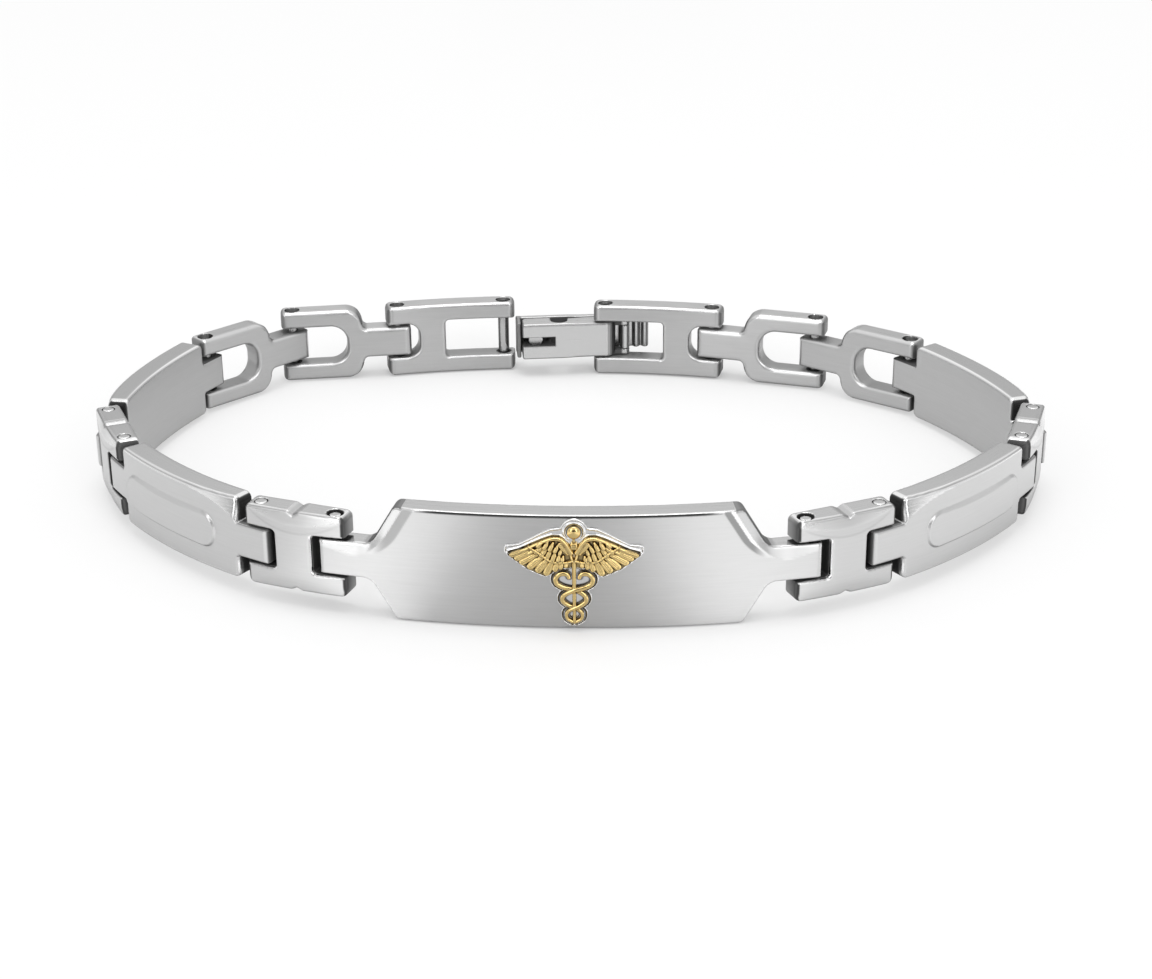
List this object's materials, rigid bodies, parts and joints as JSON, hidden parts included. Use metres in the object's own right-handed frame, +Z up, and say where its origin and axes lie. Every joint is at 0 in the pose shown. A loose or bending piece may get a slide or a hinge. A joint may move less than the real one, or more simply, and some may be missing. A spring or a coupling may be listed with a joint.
{
  "type": "medical alert bracelet",
  "caption": "Steel bracelet of pinned links with a shouldered identification plate, a raised gold caduceus and a fold-over clasp, unhooked.",
  "frame": {"origin": "on the surface that the bracelet lies on, under the middle of the plate's lower edge", "axes": "+X to the right along the plate seen from the front, +Y from the plate toward the clasp at the back, +Z up"},
  "size_m": [0.0782, 0.052, 0.0093],
  "materials": {
    "satin_steel": "satin faces brushed along the band, with polished bevels",
    "polished_steel": "polished stainless steel",
    "gold": "polished gold colour, darker in the recesses"
  },
  "bodies": {
    "band": {"id_plate": "satin_steel", "emblem_back": "polished_steel", "emblem_gold": "gold", "short_link_left_front": "satin_steel", "short_link_left_side": "satin_steel", "short_link_right_front": "satin_steel", "short_link_right_side": "satin_steel", "long_link_left_front": "satin_steel", "long_link_left_back": "satin_steel", "long_link_right_front": "satin_steel", "long_link_right_back": "satin_steel", "u_link_left_1": "satin_steel", "u_link_left_2": "satin_steel", "u_link_right_1": "satin_steel", "u_link_right_2": "satin_steel", "catch_link": "satin_steel", "end_link": "satin_steel", "pin_left_1": "polished_steel", "pin_left_2": "polished_steel", "pin_left_3": "polished_steel", "pin_left_4": "polished_steel", "pin_left_5": "polished_steel", "pin_left_6": "polished_steel", "pin_left_7": "polished_steel", "pin_right_1": "polished_steel", "pin_right_2": "polished_steel", "pin_right_3": "polished_steel", "pin_right_4": "polished_steel", "pin_right_5": "polished_steel", "pin_right_6": "polished_steel", "pin_right_7": "polished_steel", "catch_bar": "polished_steel", "clasp_pin": "polished_steel"},
    "base": {"clasp_base": "satin_steel", "cover_pin": "polished_steel"},
    "cover": {"clasp_cover": "satin_steel"}
  },
  "joints": [
    {"name": "clasp_swing", "type": "hinge", "parent": "band", "child": "base", "pos_m": [0.00148, 0.0483, 0.00335], "axis": [0, 0.0271, 0.9996], "range_deg": [-40, 75]},
    {"name": "cover_fold", "type": "hinge", "parent": "base", "child": "cover", "pos_m": [0.00326, 0.0485, 0.00334], "axis": [0, 0.0271, 0.9996], "range_deg": [-95, 0]}
  ]
}
